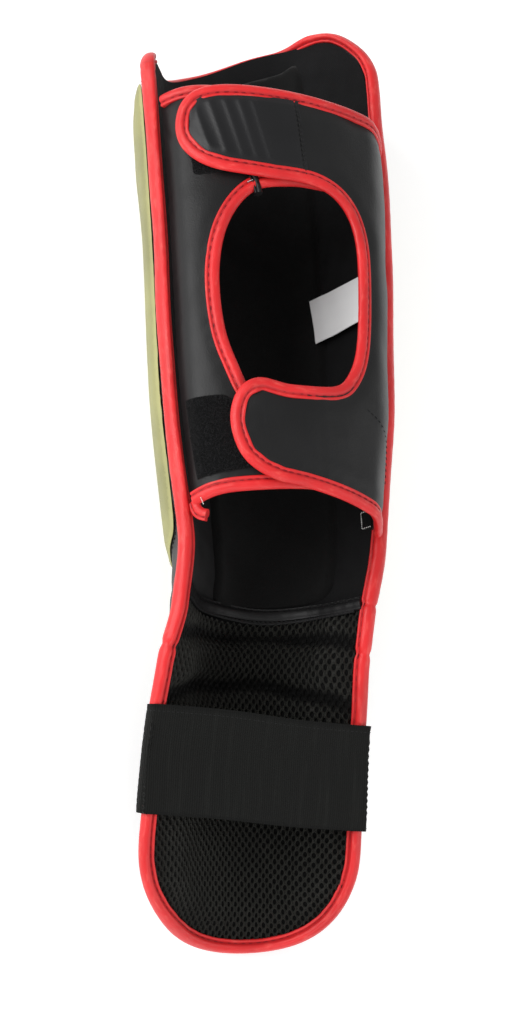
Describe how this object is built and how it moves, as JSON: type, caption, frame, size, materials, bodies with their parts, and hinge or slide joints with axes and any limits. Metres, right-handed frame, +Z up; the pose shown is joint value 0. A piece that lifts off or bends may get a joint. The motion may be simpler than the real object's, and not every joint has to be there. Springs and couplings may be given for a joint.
{
  "type": "shin and instep guard",
  "caption": "Padded trough-shaped shin guard with an instep pad, calf wraps with hook-and-loop straps and an elastic foot strap.",
  "frame": {"origin": "middle of the guard's outline on the surface it lies on, front side down", "axes": "+Y to the knee end along the shin, +Z up out of the hollow towards the calf, +X to the side whose straps close over the other wrap"},
  "size_m": [0.1352, 0.4774, 0.121],
  "materials": {
    "red_binding": "smooth, soft gloss",
    "black_cover": "fine grain, satin",
    "black_cloth": "matt brushed cloth",
    "olive_cover": "smooth, satin",
    "air_mesh": "open air mesh",
    "loop_cloth": "fuzzy loop pile",
    "elastic": "ribbed woven elastic",
    "ribbed_patch": "moulded, satin",
    "label_cloth": "plain woven, matt"
  },
  "bodies": {
    "root": {"shin_pad": "black_cover", "front_pad": "olive_cover", "shin_lining": "black_cloth", "lining_panel": "black_cloth", "instep_pad": "black_cover", "instep_front_pad": "black_cover", "instep_mesh": "air_mesh", "shell_piping": "red_binding", "left_wrap": "black_cover", "left_wrap_piping": "red_binding", "right_wrap": "black_cover", "right_wrap_piping": "red_binding", "upper_loop_patch": "loop_cloth", "lower_loop_patch": "loop_cloth", "strap_patch": "ribbed_patch", "ankle_band": "black_cover", "elastic_band": "elastic", "care_label": "label_cloth", "size_tab": "black_cloth"}
  },
  "joints": []
}
